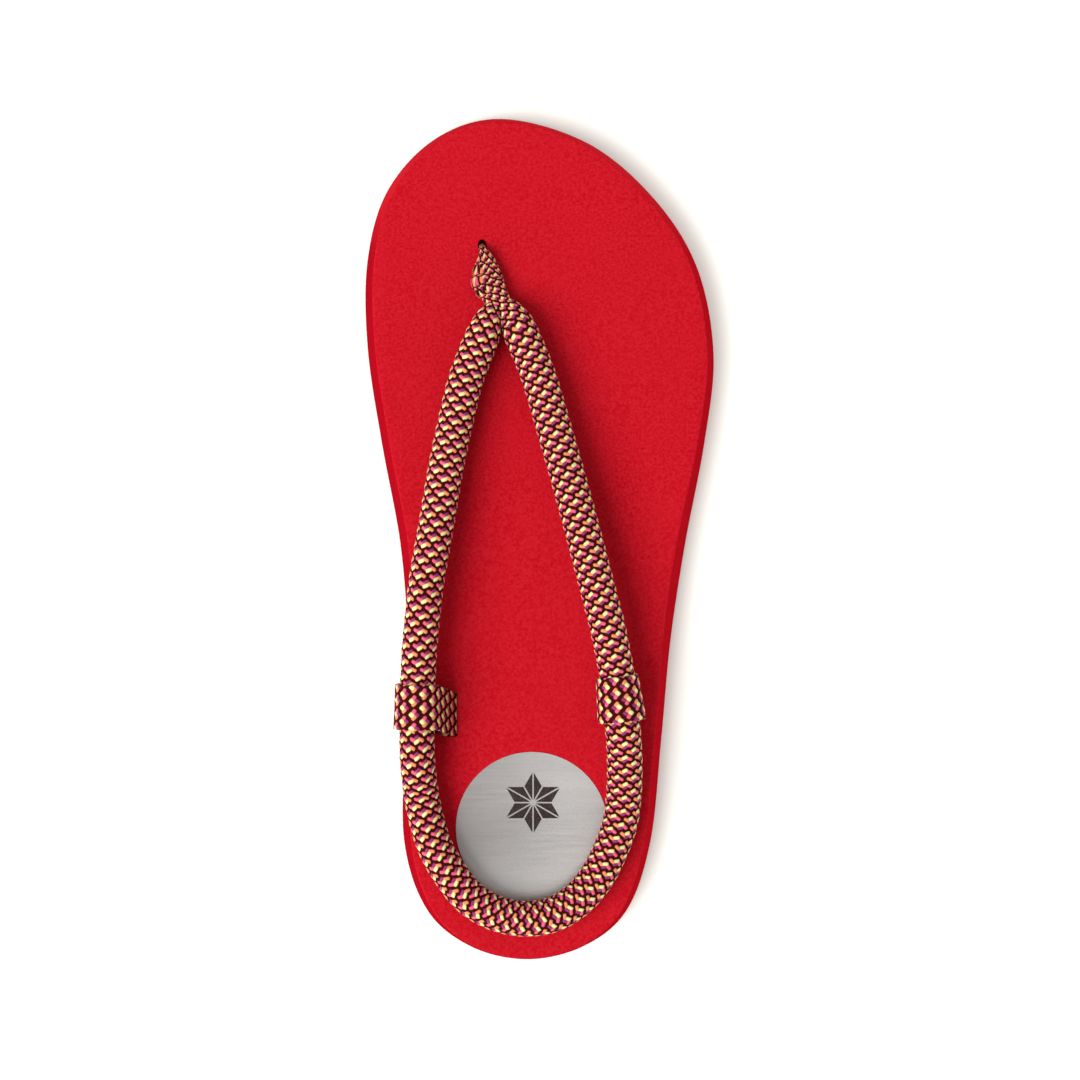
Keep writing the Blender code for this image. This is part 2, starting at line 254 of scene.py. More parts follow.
foam = {                         # noise scales, spans of x or y, and linear colours
    "patches": 60.0,             # soft, 15 mm
    "grain": 1300.0,             # fine skin of the foam
    "cells": 3600.0,
    "relief": (0.00010, 0.5),    # distance, strength
    "roughness": (0.64, 0.80),
    "top": {
        "deep": (0.463, 0.0018, 0.0092, 1),
        "pale": (0.545, 0.0122, 0.0226, 1),
        "patch": (0.530, 0.0085, 0.0185, 1),
        "cell": (0.34, 0.0015, 0.0070, 1),
        "specular": 0.02,
    },
    "wall": {                    # cut and buffed smooth, so deeper in colour
        "deep": (0.450, 0.0030, 0.0098, 1),
        "pale": (0.485, 0.0042, 0.0114, 1),
        "grain": (0.510, 0.0070, 0.0150, 1),
        "buffing": (220.0, 220.0, 3200.0),    # fine marks round the edge
        "buffed": (0.325, 0.0010, 0.0070, 1),
        "innerShadeTint": (0.72, 0.65, 0.82, 1),    # painted shade, deeper on the inner side
        "innerShadeSpan": (0.030, -0.030),
        "toe": (0.575, 0.0140, 0.0235, 1),    # and painted light, paler round the toe
        "toeLightSpan": (0.080, 0.108, 0.9),
        "specular": 0.0,
    },
    "tread": {                   # fine wavy grooves, 4 mm apart, with painted shade inside them
        "pitch": 0.004,
        "wave": (0.012, 0.0012),    # length and height
        "grooveSpan": (0.0003, 0.0009),
        "grooveShade": (0.28, 0.001, 0.005, 1),
        "relief": (0.0007, 1.0),
    },
}


def foamMaterial(name, kind):    # kind: top, wall or tread
    material, tree, shader = newMaterial(name)
    where = objectCoordinates(tree)
    x, y, _ = axes(tree, where)
    patches = noise(tree, where, foam["patches"], 3.0)
    grain = noise(tree, where, foam["grain"], 3.0, 0.6)
    cells = noise(tree, where, foam["cells"], 1.0)
    relief = calc(tree, "ADD", grain, calc(tree, "MULTIPLY", cells, 0.5))
    look = foam["wall" if kind == "wall" else "top"]
    if kind == "wall":
        color = paintOver(tree, look["deep"], look["pale"], patches, 0.35, 0.65)
        color = paintOver(tree, color, look["grain"], grain, 0.3, 0.7, 0.5)
        buffed = noise(tree, stretched(tree, where, look["buffing"]), 1.0, 3.0, 0.6)
        color = paintOver(tree, color, look["buffed"], buffed, 0.35, 0.65, 0.22)
        # painted shade: the wall is deeper on the inner side
        color = tinted(tree, remap(tree, x, *look["innerShadeSpan"], smooth=True), color, look["innerShadeTint"])
        # painted light: the wall is paler round the toe
        color = paintOver(tree, color, look["toe"], y, *look["toeLightSpan"], smooth=True)
        relief = calc(tree, "ADD", relief, calc(tree, "MULTIPLY", buffed, 0.7))
    else:
        color = paintOver(tree, look["deep"], look["pale"], grain, 0.36, 0.64)
        color = paintOver(tree, color, look["patch"], patches, 0.35, 0.65, 0.25)
        color = paintOver(tree, color, look["cell"], cells, 0.60, 0.75, 0.4)
    normal = bump(tree, relief, *foam["relief"])
    if kind == "tread":
        tread = foam["tread"]
        waveLength, waveHeight = tread["wave"]
        wave = calc(tree, "SINE", calc(tree, "MULTIPLY", x, 2 * math.pi / waveLength))
        bent = calc(tree, "ADD", y, calc(tree, "MULTIPLY", wave, waveHeight))
        ridge = calc(tree, "PINGPONG", bent, tread["pitch"] / 2)
        ridge = remap(tree, ridge, *tread["grooveSpan"], smooth=True)
        normal = bump(tree, ridge, *tread["relief"], normal)
        # painted shade in the grooves
        color = blend(tree, ridge, tread["grooveShade"], color)
    plug(tree, shader.inputs["Base Color"], color)
    plug(tree, shader.inputs["Roughness"], remap(tree, grain, 0.3, 0.7, *foam["roughness"]))
    shader.inputs["Specular IOR Level"].default_value = look["specular"]
    plug(tree, shader.inputs["Normal"], normal)
    return material


def cutter(name, bm):
    obj = meshObject(name, bm, [], body=None)
    obj.hide_render = True
    return obj


def roundCutter(name, place, radii, bottom, top, stretch=1.0):
    bm = bmesh.new()
    bmesh.ops.create_cone(bm, cap_ends=True, segments=48, radius1=radii[0] * mm, radius2=radii[1] * mm,
                          depth=(top - bottom) * mm)
    bmesh.ops.scale(bm, verts=bm.verts, vec=(1.0, stretch, 1.0))
    bmesh.ops.translate(bm, verts=bm.verts, vec=Vector((*place, (top + bottom) / 2)) * mm)
    return cutter(name, bm)


def squareCutter(name, place, size, bottom, top, corner):
    bm = bmesh.new()
    bmesh.ops.create_cube(bm, size=1.0)
    bmesh.ops.scale(bm, verts=bm.verts, vec=Vector((*size, top - bottom)) * mm)
    bmesh.ops.translate(bm, verts=bm.verts, vec=Vector((*place, (top + bottom) / 2)) * mm)
    uprights = [e for e in bm.edges if abs(e.verts[0].co.z - e.verts[1].co.z) > mm]
    bmesh.ops.bevel(bm, geom=uprights, offset=corner * mm, segments=5, profile=0.5, affect="EDGES",
                    material=-1)
    return cutter(name, bm)


def soleCutters():
    place = sole["toeHole"]
    radius, rim, stretch = sole["toeHoleRadius"], sole["toeHoleRim"], sole["toeHoleStretch"]
    pocket, pocketDepth = sole["toePocket"]
    level = footbed(*place)
    bottom, top = sole["through"]
    cutters = [
        roundCutter("toeHoleCutter", place, (radius, radius), bottom, top, stretch),
        roundCutter("toeRimCutter", place, (radius - rim, radius + rim), level - rim, level + rim, stretch),
        roundCutter("toePocketCutter", place, (pocket, pocket), bottom, pocketDepth),
    ]
    *pocketSize, depth = sole["slotPocket"]
    for k, place in enumerate(sole["slots"]):
        cutters += [
            squareCutter(f"slotCutter{k}", place, sole["slotSize"], bottom, top, sole["slotCorner"]),
            squareCutter(f"slotPocketCutter{k}", place, pocketSize, bottom, depth, sole["slotPocketCorner"]),
        ]
    return cutters


def makeSole():
    outline = [Vector((x, y)) for x, y in closedCurve(sole["outline"], sole["outlineSteps"])]
    count = len(outline)
    bm = bmesh.new()
    ring = bmesh.ops.create_circle(bm, cap_ends=True, segments=count, radius=1.0)["verts"]
    inward = {}
    for i, vert in enumerate(sorted(ring, key=lambda v: math.atan2(v.co.y, v.co.x))):
        along = (outline[(i + 1) % count] - outline[i - 1]).normalized()
        vert.co = (*outline[i], 0.0)
        inward[(round(outline[i].x, 3), round(outline[i].y, 3))] = Vector((-along.y, along.x, 0.0))
    for vert in extrudeUp(bm):
        x, y = vert.co.xy
        vert.co += inward[(round(x, 3), round(y, 3))] * wallLean(x, y)
        vert.co.z = sole["heelThickness"]
    bmesh.ops.recalc_face_normals(bm, faces=bm.faces)
    for height, offset in ((sole["heelThickness"], sole["topEdge"]), (0.0, sole["bottomEdge"])):
        rim = [e for e in bm.edges if all(abs(v.co.z - height) < 1e-4 for v in e.verts)]
        bmesh.ops.bevel(bm, geom=rim, offset=offset, segments=3, profile=0.5, affect="EDGES", material=-1)
    for axis, reach in enumerate(sole["gridReach"]):
        normal = Vector((0.0, 0.0, 0.0))
        normal[axis] = 1.0
        for k in range(int(-reach / sole["gridStep"]), int(reach / sole["gridStep"]) + 1):
            geom = [*bm.verts, *bm.edges, *bm.faces]
            place = normal * k * sole["gridStep"]
            bmesh.ops.bisect_plane(bm, geom=geom, dist=1e-4, plane_co=place, plane_no=normal)
    for vert in bm.verts:
        x, y, z = vert.co
        share = z / sole["heelThickness"]
        vert.co.z = z + (1 - share) * underside(x, y) + share * (footbed(x, y) - sole["heelThickness"])
    bmesh.ops.scale(bm, verts=bm.verts, vec=(mm, mm, mm))
    block = meshObject("foamSole", bm, [
        foamMaterial("redFoam", "top"),
        foamMaterial("redFoamWall", "wall"),
        foamMaterial("redFoamTread", "tread"),
    ])

    cutters = soleCutters()
    for tool in cutters:
        cut = block.modifiers.new(tool.name, "BOOLEAN")
        cut.operation = "DIFFERENCE"
        cut.solver = "EXACT"
        cut.object = tool
    depsgraph = bpy.context.evaluated_depsgraph_get()
    drilled = bpy.data.meshes.new_from_object(block.evaluated_get(depsgraph))
    block.modifiers.clear()
    block.data = drilled
    for tool in cutters:
        bpy.data.objects.remove(tool)
    for face in block.data.polygons:
        facing = face.normal.z
        if facing < sole["treadTilt"] and face.center.z < sole["treadHeight"] * mm:
            face.material_index = 2
        else:
            face.material_index = 1 if facing < sole["wallTilt"] else 0
    smoothShade(block, 30)
    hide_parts("sole")
    print("sole:", len(block.data.polygons), "faces")


# One cell of the braid: four coloured yarns show side by side, and black ones go round the group.
# Places are in the cell's two directions: a runs up to the right along the cord, b down to the right.
# Each yarn has its place, half length and half width in mm, and angle off the way round the cord.
braid = {
    "black": (0.054, 0.0021, 0.0015),
    "paintedShadeTint": (0.70, 0.38, 0.38, 1),    # painted shade: the yarns are darker on the toe thong and where the tape goes into the slots
    "unevenTint": (0.6, 0.6, 0.6, 1),
    "colors": {
        "purple": (0.30, 0.032, 0.145),
        "pink": (0.80, 0.118, 0.20),
        "orange": (0.84, 0.27, 0.115),
        "yellow": (0.82, 0.77, 0.32),
    },
    "edgeShade": 0.40,           # painted shade: a yarn is darker at its edges
    "fibreShine": 1.12,          # and lighter along some of its filaments
    "filaments": (2.5, 30.0),    # noise along and across a cell
    "unevenness": 170.0,         # noise scale
    "crown": (1.4, 1.25),        # where the mesh's yarns reach the ground, in half widths and half lengths
    "corners": 3.5,              # 2 makes a yarn's patch an oval, more makes it squarer
    "edge": (1.15, 0.85),        # the patch's soft edge, from outside to inside
    "bow": 0.7,                  # how much its height falls to the sides
    "endFall": 0.5,              # and to the ends
    "roughness": (0.8, 0.5),     # of the black yarns, and of the coloured ones
    "specular": 0.06,
    "yarnRelief": (0.0004, 0.8),    # distance, strength
    "filamentRelief": (0.00006, 0.6),
    "cord": [
        ("purple", (0.625, 0.360), (0.96, 0.54), 31), ("pink", (0.285, 0.29), (1.06, 0.53), -27),
        ("orange", (0.78, 0.74), (0.98, 0.53), -22), ("yellow", (0.41, 0.62), (0.94, 0.55), 29),
    ],
    "tape": [
        ("purple", (0.605, 0.330), (0.78, 0.54), 52), ("pink", (0.25, 0.25), (0.78, 0.56), -37),
        ("orange", (0.73, 0.715), (0.84, 0.53), -46), ("yellow", (0.40, 0.615), (0.80, 0.66), 45),
    ],
}


def yarnAxes(yarn, cell):    # what turns a step in the cell into lengths along and across the yarn
    angle = math.radians(yarn[3])
    run = Vector((math.cos(angle), math.sin(angle)))
    side = Vector((-math.sin(angle), math.cos(angle)))
    steps = Vector(cell) / 2, Vector((cell[0], -cell[1])) / 2
    length, width = yarn[2]
    return [step.dot(run) / length for step in steps], [step.dot(side) / width for step in steps]


def braidHeight(a, b, kind, cell):    # 0 in the black gaps, 1 on the crowns
    sideways, endways = braid["crown"]
    height = np.zeros_like(a)
    for yarn in braid[kind]:
        alongAxis, acrossAxis = yarnAxes(yarn, cell)
        da = (a - yarn[1][0] + 0.5) % 1.0 - 0.5
        db = (b - yarn[1][1] + 0.5) % 1.0 - 0.5
        along = da * alongAxis[0] + db * alongAxis[1]
        across = da * acrossAxis[0] + db * acrossAxis[1]
        crown = np.clip(1.0 - (across / sideways) ** 2, 0.0, 1.0)
        crown *= np.clip(1.0 - (along / endways) ** 4, 0.0, 1.0)
        height = np.maximum(height, np.sqrt(crown))
    return height


def yarnGroup():    # where one yarn shows, and how high it stands
    group = bpy.data.node_groups.new("yarnFloat", "ShaderNodeTree")
    for name in ("Cell", "Centre", "Along Axis", "Across Axis"):
        group.interface.new_socket(name, in_out="INPUT", socket_type="NodeSocketVector")
    for name in ("Mask", "Height"):
        group.interface.new_socket(name, in_out="OUTPUT", socket_type="NodeSocketFloat")
    inside = group.nodes.new("NodeGroupInput").outputs
    out = group.nodes.new("NodeGroupOutput")
    wrap = group.nodes.new("ShaderNodeVectorMath")
    wrap.operation = "WRAP"
    shift = group.nodes.new("ShaderNodeVectorMath")
    shift.operation = "SUBTRACT"
    plug(group, shift.inputs[0], inside["Cell"])
    plug(group, shift.inputs[1], inside["Centre"])
    plug(group, wrap.inputs[0], shift.outputs[0])
    wrap.inputs[1].default_value = (0.5, 0.5, 0.5)
    wrap.inputs[2].default_value = (-0.5, -0.5, -0.5)

    def reach(axis):
        dot = group.nodes.new("ShaderNodeVectorMath")
        dot.operation = "DOT_PRODUCT"
        plug(group, dot.inputs[0], wrap.outputs[0])
        plug(group, dot.inputs[1], inside[axis])
        return calc(group, "ABSOLUTE", dot.outputs["Value"])

    along, across = reach("Along Axis"), reach("Across Axis")
    corners = braid["corners"]
    shape = calc(group, "ADD", calc(group, "POWER", along, corners), calc(group, "POWER", across, corners))
    group.links.new(remap(group, shape, *braid["edge"], smooth=True), out.inputs["Mask"])
    fall = calc(group, "MULTIPLY", calc(group, "MULTIPLY", across, across), braid["bow"])
    bow = calc(group, "SQRT", calc(group, "SUBTRACT", 1.0, fall, clamp=True))
    fall = calc(group, "MULTIPLY", calc(group, "POWER", along, 3.0), braid["endFall"])
    ends = calc(group, "SUBTRACT", 1.0, fall, clamp=True)
    group.links.new(calc(group, "MULTIPLY", bow, ends), out.inputs["Height"])
    return group


def braidMaterial(name, group, kind, cell):
    material, tree, shader = newMaterial(name)
    uv = tree.nodes.new("ShaderNodeUVMap")
    uv.uv_map = "braid"
    a, b, _ = axes(tree, uv.outputs[0])

    def streaks(along, across):
        join = tree.nodes.new("ShaderNodeCombineXYZ")
        for socket, way, scale in zip(join.inputs, (along, across), braid["filaments"]):
            plug(tree, socket, calc(tree, "MULTIPLY", way, scale))
        return noise(tree, join.outputs[0], 1.0)

    rising = streaks(a, b)
    falling = streaks(b, a)
    drift = noise(tree, objectCoordinates(tree), braid["unevenness"])    # yarns lie a little unevenly
    color = (*braid["black"], 1)
    height = covered = None
    for yarn in braid[kind]:
        node = tree.nodes.new("ShaderNodeGroup")
        node.node_tree = group
        plug(tree, node.inputs["Cell"], uv.outputs[0])
        alongAxis, acrossAxis = yarnAxes(yarn, cell)
        node.inputs["Centre"].default_value = (*yarn[1], 0.0)
        node.inputs["Along Axis"].default_value = (*alongAxis, 0.0)
        node.inputs["Across Axis"].default_value = (*acrossAxis, 0.0)
        mask = node.outputs["Mask"]
        rise = node.outputs["Height"]
        base = braid["colors"][yarn[0]]
        # painted shade where each yarn rounds down at its edges
        dark = tuple(braid["edgeShade"] * c for c in base)
        light = tuple(min(1.0, braid["fibreShine"] * c) for c in base)
        tone = paintOver(tree, (*base, 1), (*light, 1), rising if yarn[3] > 0 else falling, 0.3, 0.7)
        tone = paintOver(tree, (*dark, 1), tone, rise, 0.45, 0.85)
        color = blend(tree, mask, color, tone)
        lifted = calc(tree, "MULTIPLY", mask, rise)
        height = lifted if height is None else calc(tree, "MAXIMUM", height, lifted)
        covered = mask if covered is None else calc(tree, "MAXIMUM", covered, mask)
    color = tinted(tree, remap(tree, drift, 0.35, 0.65, 0.0, 0.18), color, braid["unevenTint"])
    # painted shade on the thong and by the slots, carried in a point attribute
    paintedShade = tree.nodes.new("ShaderNodeAttribute")
    paintedShade.attribute_name = "paintedShade"
    color = tinted(tree, paintedShade.outputs["Fac"], color, braid["paintedShadeTint"])
    plug(tree, shader.inputs["Base Color"], color)
    plug(tree, shader.inputs["Roughness"], remap(tree, covered, 0.0, 1.0, *braid["roughness"]))
    shader.inputs["Specular IOR Level"].default_value = braid["specular"]
    fine = calc(tree, "ADD", calc(tree, "MULTIPLY", rising, 0.5), calc(tree, "MULTIPLY", falling, 0.5))
    normal = bump(tree, height, *braid["yarnRelief"])
    plug(tree, shader.inputs["Normal"], bump(tree, fine, *braid["filamentRelief"], normal))
    return material


def setBraid(mesh, a, b, paintedShade):
    mesh.attributes.new("paintedShade", "FLOAT", "POINT").data.foreach_set("value", paintedShade)
    corners = np.empty(len(mesh.loops), int)
    mesh.loops.foreach_get("vertex_index", corners)
    layer = mesh.uv_layers.new(name="braid")
    layer.uv.foreach_set("vector", np.stack([a[corners], b[corners]], axis=1).ravel())


def gridTube(name, around, along):    # a flat grid, x once round the tube from -0.5, y along it from 0
    bm = bmesh.new()
    bmesh.ops.create_grid(bm, x_segments=around, y_segments=along, size=0.5)
    mesh = bpy.data.meshes.new(name)
    bm.to_mesh(mesh)
    bm.free()
    flat = np.empty(len(mesh.vertices) * 3)
    mesh.vertices.foreach_get("co", flat)
    flat = flat.reshape(-1, 3)
    return mesh, flat[:, 0], flat[:, 1] + 0.5


def finishTube(name, mesh, places, a, b, paintedShade, material):
    setBraid(mesh, a, b, paintedShade)
    mesh.vertices.foreach_set("co", (places * mm).ravel())
    bm = bmesh.new()
    bm.from_mesh(mesh)
    bmesh.ops.remove_doubles(bm, verts=bm.verts, dist=1e-6)
    rims = [e for e in bm.edges if e.is_boundary]
    bmesh.ops.holes_fill(bm, edges=rims, sides=0)
    bmesh.ops.recalc_face_normals(bm, faces=bm.faces)
    obj = meshObject(name, bm, [material])
    bpy.data.meshes.remove(mesh)
    obj.data.shade_smooth()
    return obj


def frameRoute(rows):    # from x, y, z, half width, half height to places with side and over directions
    rows = np.array(rows, float)
    places = rows[:, :3]
    steps = np.gradient(places, axis=0)
    steps /= np.linalg.norm(steps, axis=1, keepdims=True)
    sides = np.zeros_like(places)
    side = np.array((-1.0, 0.0, 0.0))
    for i, step in enumerate(steps):
        level = np.cross(step, (0.0, 0.0, 1.0))
        if np.linalg.norm(level) > 0.3:    # an upright stretch keeps the last side
            side = level / np.linalg.norm(level)
        sides[i] = side
    overs = np.cross(sides, steps)
    overs /= np.linalg.norm(overs, axis=1, keepdims=True)
    lengths = np.concatenate(([0.0], np.cumsum(np.linalg.norm(np.diff(places, axis=0), axis=1))))
    return {
        "places": places, "halfWidths": rows[:, 3], "halfHeights": rows[:, 4],
        "sides": sides, "overs": overs, "lengths": lengths,
    }


def braidedTube(name, route, start, end, around, along, relief, material, layBraid):
    lengths = route["lengths"]
    mesh, u, t = gridTube(name, around, along)
    s = start + (end - start) * t

    def at(rows):
        if rows.ndim == 1:
            return np.interp(s, lengths, rows)
        return np.stack([np.interp(s, lengths, rows[:, k]) for k in range(3)], axis=1)

    side, over = at(route["sides"]), at(route["overs"])
    side /= np.linalg.norm(side, axis=1, keepdims=True)
    over /= np.linalg.norm(over, axis=1, keepdims=True)
    width, height = at(route["halfWidths"]), at(route["halfHeights"])
    a, b, dent, paintedShade = layBraid(u, s)
    level = relief * np.clip(height / strap["fullRelief"], 0.5, 1.0)    # the flat thong has shallower yarns
    sink = level * (1.0 - braidHeight(a, b, "cord", strap["cell"])) + dent
    turn = math.tau * (0.25 - u)                          # 0 on top, round to the right
    x = (width - sink) * np.cos(turn)
    z = (height - sink) * np.sin(turn)
    under = u > 0.4999                                    # both edges of the seam in one place, underneath
    x[under], z[under] = x[u < -0.4999], z[u < -0.4999]
    places = at(route["places"]) + side * x[:, None] + over * z[:, None]
    return finishTube(name, mesh, places, a, b, paintedShade, material)


def ramp(s, low, high):    # 0 at low, 1 at high
    return np.clip((s - low) / (high - low), 0.0, 1.0)


strap = {
    "radius": 5.15,
    "cells": 6,                  # round the cord
    "cell": (5.35, 4.2),         # one cell round it and along it
    "lay": [                     # length along the cord, and how long a cell is there
        (0.0, 2.6), (12.0, 2.5), (15.0, 2.9), (19.0, 3.2), (24.0, 3.4), (30.0, 4.1), (235.0, 4.12),
        (265.0, 4.45), (350.0, 4.42), (385.0, 4.23), (425.0, 4.15),
    ],
    "relief": 0.45,
    "fullRelief": 3.0,           # from this half height up
    "sides": 120,
    "ringStep": 0.25,
    "routeSteps": 16,
    "neckRadius": 1.1,
    "neckHeights": (3.1, 7.0, 10.6),
    "neckTopLift": 0.1,
    "neckLean": -0.83,           # the neck leans on the back of the toe hole
    # painted shade on the toe thong
    "thongShade": 0.35,
    "thongShadeSpan": (30.0, 24.0),    # lengths where the painted shade begins, and where it is whole
    "wander": [(0.022, 4.7, 3.0), (0.016, 1.9, -2.0)],    # cells off line, over what length, twist
    "gather": 0.52,              # the thong's braid is drawn together on top, most of all on its inner side
    "gatherSpan": (13.0, 18.0, 23.0, 31.0),    # lengths: begins, whole, still whole, gone
    "gatherTurn": 0.08,
    "innerSide": (0.20, 0.20, 1.35),    # share of the way round, reach, strength
    "crumple": [                 # length, and by how many cells that side is pulled back
        (13.0, 0.0), (15.6, 0.35), (16.3, 0.05), (19.2, 0.72), (20.2, 0.05), (21.8, 0.42), (22.5, 0.05),
        (24.5, 0.35), (25.3, 0.0), (28.0, 0.0),
    ],
    "creases": [                 # length, depth, width
        (16.3, 0.25, 0.30), (19.7, 0.45, 0.35), (22.2, 0.40, 0.33), (24.9, 0.35, 0.35),
    ],
    "creaseSlant": 1.5,
    "route": [                   # x, y, lift off the footbed; half width and half height where it isn't round
        (-17.0, 84.4, 0.6, 1.25, 1.2), (-16.5, 82.6, 1.1, 2.25, 1.4), (-16.2, 80.2, 0.7, 3.4, 1.6),
        (-16.0, 77.6, 0.5, 4.3, 2.0), (-15.6, 74.8, 0.5, 4.9, 2.2), (-13.6, 71.2, 0.5, 3.9, 2.5),
        (-11.6, 68.2, 0.5, 3.4, 3.0), (-9.0, 65.6, 0.5, 4.1, 3.8), (-7.3, 63.0, 0.5, 4.75, 4.5),
        (-5.9, 59.6, 0.5, 5.15, 5.1), (-2.6, 51.9, 0.6), (0.2, 43.8, 1.0), (2.6, 35.4, 1.3),
        (7.3, 18.8, 2.4), (11.8, 2.0, 3.9), (16.1, -14.7, 4.8), (18.3, -23.1, 5.0), (20.1, -31.4, 4.8),
        (21.5, -38.8, 4.5), (22.3, -45.8, 4.5), (23.1, -52.8, 4.4), (23.9, -64.0, 2.2),
        (23.7, -74.6, 0.8), (22.4, -83.1, 0.5), (19.4, -91.2, 0.5), (15.4, -98.6, 0.5),
        (10.1, -104.6, 0.5), (3.1, -108.8, 0.5), (-5.0, -110.0, 0.5), (-13.6, -108.3, 0.5),
        (-21.0, -103.8, 0.5), (-26.5, -97.0, 0.5), (-30.8, -89.5, 0.5), (-33.4, -81.4, 0.5),
        (-35.1, -72.8, 0.7), (-36.0, -64.2, 2.8), (-36.15, -56.8, 3.9), (-36.1, -48.2, 4.0),
        (-35.8, -39.2, 4.1), (-35.3, -30.0, 4.6), (-33.4, -12.5, 4.7), (-30.5, 4.5, 3.5),
        (-27.6, 21.8, 1.9), (-24.0, 38.6, 1.2), (-21.8, 47.1, 0.9), (-18.8, 55.0, 0.6),
        (-17.15, 59.2, 0.5, 5.05, 5.1), (-15.9, 62.8, 0.5, 4.4, 4.5), (-15.2, 65.4, 0.5, 3.5, 3.8),
        (-14.4, 67.6, 0.7, 2.1, 2.8),
    ],
}


def makeStrap(material):
    holeX, holeY = sole["toeHole"]
    neck = strap["neckRadius"]
    rows = [(holeX, holeY, z, neck, neck) for z in strap["neckHeights"]]
    rows.append((holeX, holeY + strap["neckLean"], footbed(holeX, holeY) + strap["neckTopLift"], neck, neck))
    for x, y, lift, *halves in strap["route"]:
        halfWidth, halfHeight = halves or (strap["radius"], strap["radius"])
        rows.append((x, y, footbed(x, y) + lift + halfHeight, halfWidth, halfHeight))
    route = frameRoute(openCurve(rows, strap["routeSteps"]))
    lengths = route["lengths"]
    lay = np.interp(lengths, *zip(*strap["lay"]))
    turns = np.concatenate(([0.0], np.cumsum(np.diff(lengths) * 2 / (lay[1:] + lay[:-1]))))

    def layBraid(u, s):
        turn = math.tau * u
        begins, whole, stillWhole, gone = strap["gatherSpan"]
        thong = ramp(s, begins, whole) * ramp(s, gone, stillWhole)
        gathered = u + strap["gather"] * thong * np.sin(math.tau * (u - strap["gatherTurn"])) / math.tau
        middle, reach, strength = strap["innerSide"]
        inner = np.clip(strength - ((u - middle) / reach) ** 2, 0.0, 1.0)
        (slow, slowLength, slowTwist), (quick, quickLength, quickTwist) = strap["wander"]
        wander = slow * np.sin(s / slowLength + slowTwist * np.sin(turn))
        wander += quick * np.sin(s / quickLength + quickTwist * np.cos(turn))
        across = strap["cells"] * gathered + wander
        along = np.interp(s, lengths, turns) - np.interp(s, *zip(*strap["crumple"])) * inner
        slant = strap["creaseSlant"] * (u - middle)
        dent = sum(depth * np.exp(-((s - at - slant) / width) ** 2) for at, depth, width in strap["creases"])
        # the last value is the thong's share of painted shade
        return across + along, across - along, dent * inner, strap["thongShade"] * ramp(s, *strap["thongShadeSpan"])

    joins = []    # the side loops hide the joins of the cord's three pieces
    for place in loops["places"]:
        cordX, cordY = place["cord"]
        away = np.hypot(route["places"][:, 0] - cordX, route["places"][:, 1] - cordY)
        joins.append(lengths[away.argmin()])
    ends = [0.0, *sorted(joins), lengths[-1]]
    for name, start, end in zip(("cordFront", "cordHeel", "cordInner"), ends, ends[1:]):
        rings = round((end - start) / strap["ringStep"])
        cord = braidedTube(name, route, start, end, strap["sides"], rings, strap["relief"], material,
                           layBraid)
        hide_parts("strap")
        print(name, round(start), "to", round(end), "mm,", len(cord.data.polygons), "faces")


knot = {                         # under the toe hole
    "reach": 1.34,
    "rise": 0.85,
    "thickness": 1.85,
    "middle": 3.1,
    "steps": 96,
    "cells": 5,
    "period": 3.0,
    "relief": 0.3,
    "sides": 40,
    "rings": 160,
}


def makeKnot(material):
    holeX, holeY = sole["toeHole"]
    rows = []
    for k in range(knot["steps"] + 1):
        t = math.tau * k / knot["steps"]
        rows.append((
            holeX + knot["reach"] * (math.sin(t) + 2 * math.sin(2 * t)),
            holeY + knot["reach"] * (math.cos(t) - 2 * math.cos(2 * t)),
            knot["middle"] - knot["rise"] * math.sin(3 * t),
            knot["thickness"], knot["thickness"],
        ))
    route = frameRoute(rows)
    total = route["lengths"][-1]
    period = total / round(total / knot["period"])

    def layBraid(u, s):
        return knot["cells"] * u + s / period, knot["cells"] * u - s / period, 0.0, np.zeros_like(u)

    obj = braidedTube("toeKnot", route, 0.0, total, knot["sides"], knot["rings"], knot["relief"], material,
                      layBraid)
    print("knot:", len(obj.data.polygons), "faces")


loops = {
    "width": 13.2,
    "thickness": 1.0,
    "slack": 0.45,
    "cells": 7,                  # round the flat tape
    "cell": (3.9, 5.75),         # one cell across it and along it
    "relief": 0.26,
    "flap": 4.6,
    # painted shade on the tape where it goes down into the slot
    "slotShade": 0.9,
    "clearance": 0.3,
    "sides": 112,
    "rings": 190,
    "bendSteps": 6,              # of the tape's path: at each bend, up to the cord and round it
    "riseSteps": 6,
    "turnSteps": 48,
    "places": [                  # cord: its x and y there; turn is in degrees; flare to toe and heel
        {
            "name": "innerLoop", "node": "loop_inner", "outward": -1, "slot": 0,
            "cord": (-36.1, -48.2), "lift": 4.0, "turn": 0.0, "flare": (-0.15, 0.35),
        },
        {
            "name": "outerLoop", "node": "loop_outer", "outward": 1, "slot": 1,
            "cord": (22.3, -45.8), "lift": 4.5, "turn": 6.5, "flare": (-0.45, 0.5),
        },
    ],
}


def tangentPoint(point, centre, radius, turn):
    offset = centre - point
    reach = math.sqrt(offset.length ** 2 - radius ** 2)
    angle = turn * math.asin(radius / offset.length)
    ahead = offset.normalized()
    turned = Vector((ahead.x * math.cos(angle) - ahead.y * math.sin(angle),
                     ahead.x * math.sin(angle) + ahead.y * math.cos(angle)))
    return point + turned * reach


def roundedPath(corners, radius, steps):
    path = [corners[0]]
    for before, corner, after in zip(corners, corners[1:], corners[2:]):
        back = (before - corner).normalized()
        ahead = (after - corner).normalized()
        half = back.angle(ahead) / 2
        centre = corner + (back + ahead).normalized() * (radius / math.sin(half))
        start = corner + back * (radius / math.tan(half))
        end = corner + ahead * (radius / math.tan(half))
        for k in range(steps + 1):
            path.append(centre + (start - centre).lerp(end - centre, k / steps).normalized() * radius)
    return [*path, corners[-1]]


